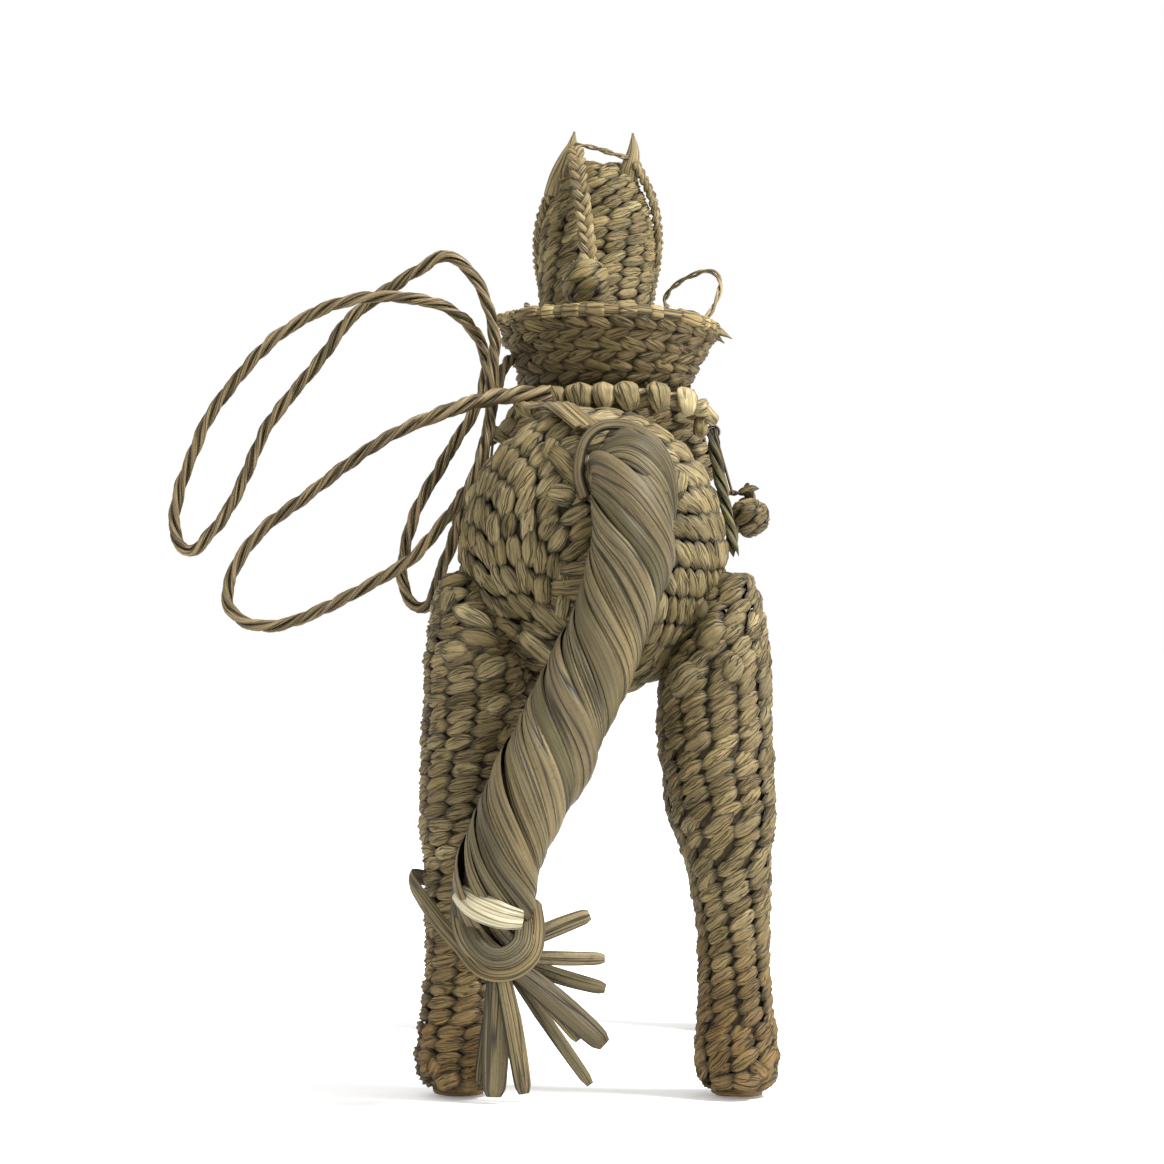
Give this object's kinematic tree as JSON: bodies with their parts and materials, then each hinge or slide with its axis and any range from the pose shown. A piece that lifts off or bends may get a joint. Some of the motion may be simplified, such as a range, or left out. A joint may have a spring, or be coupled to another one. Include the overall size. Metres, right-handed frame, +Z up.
{
  "type": "woven straw saddle horse",
  "caption": "Standing saddle horse twined from dried rush leaf, with a twisted tail, cantled saddle, plaited lasso, bridle and hanging stirrups.",
  "frame": {"origin": "middle of the object's footprint, on the surface under the four soles", "axes": "Z up, the head faces +Y, +X is the horse's right side"},
  "size_m": [0.2036, 0.3026, 0.323],
  "materials": {
    "woven_leaf": "dried olive rush leaf, twined in plump stitches",
    "leg_leaf": "dried rush leaf, olive above and ochre at the feet",
    "stem_core": "bundled dry stems and leaf scraps",
    "pale_leaf": "pale flat leaf, matt with a slight sheen",
    "tail_leaf": "long flat leaves, twisted, beige with green and speckled ones",
    "cord_leaf": "plaited leaf cord",
    "tie_leaf": "darker folded leaf strip",
    "saddle_leaf": "leaf in chevron stitches",
    "green_leaf": "greener plaited leaf"
  },
  "bodies": {
    "root": {"body_shell": "woven_leaf", "body_stuffing": "stem_core", "neck_shell": "woven_leaf", "neck_core": "stem_core", "head_shell": "woven_leaf", "left_ear": "pale_leaf", "right_ear": "pale_leaf", "mane_braid": "pale_leaf", "browband": "pale_leaf", "noseband": "pale_leaf", "cheek_straps": "pale_leaf", "reins": "pale_leaf", "left_hind_leg": "leg_leaf", "right_hind_leg": "leg_leaf", "left_fore_leg": "leg_leaf", "right_fore_leg": "leg_leaf", "leg_cores": "stem_core", "foot_soles": "leg_leaf", "hip_knots": "pale_leaf", "tail_bundle": "tail_leaf", "tail_collar": "pale_leaf", "tail_binding": "pale_leaf", "tail_fringe": "tail_leaf", "tie_strip": "tie_leaf", "crupper_strand": "pale_leaf", "saddle_skirt": "saddle_leaf", "saddle_seat": "saddle_leaf", "cantle": "saddle_leaf", "cantle_rim": "saddle_leaf", "base_roll": "pale_leaf", "saddle_fork": "saddle_leaf", "saddle_horn": "woven_leaf", "corner_knots": "pale_leaf", "strap_bars": "tie_leaf", "girth": "pale_leaf", "lasso": "cord_leaf", "saddle_string": "green_leaf"},
    "left_strap": {"left_strap": "tie_leaf"},
    "right_strap": {"right_strap": "tie_leaf"},
    "left_stirrup": {"left_stirrup": "woven_leaf"},
    "right_stirrup": {"right_stirrup": "woven_leaf"}
  },
  "joints": [
    {"name": "left_strap_swing", "type": "hinge", "parent": "root", "child": "left_strap", "pos_m": [-0.0375, 0.016, 0.2095], "axis": [0, 1, 0], "range_deg": [0, 45]},
    {"name": "right_strap_swing", "type": "hinge", "parent": "root", "child": "right_strap", "pos_m": [0.0385, 0.016, 0.2115], "axis": [0, -1, 0], "range_deg": [0, 45]},
    {"name": "left_stirrup_rock", "type": "hinge", "parent": "left_strap", "child": "left_stirrup", "pos_m": [-0.0446, 0.016, 0.1905], "axis": [1, 0, 0], "range_deg": [-35, 35]},
    {"name": "right_stirrup_rock", "type": "hinge", "parent": "right_strap", "child": "right_stirrup", "pos_m": [0.051, 0.016, 0.1905], "axis": [1, 0, 0], "range_deg": [-35, 35]}
  ]
}
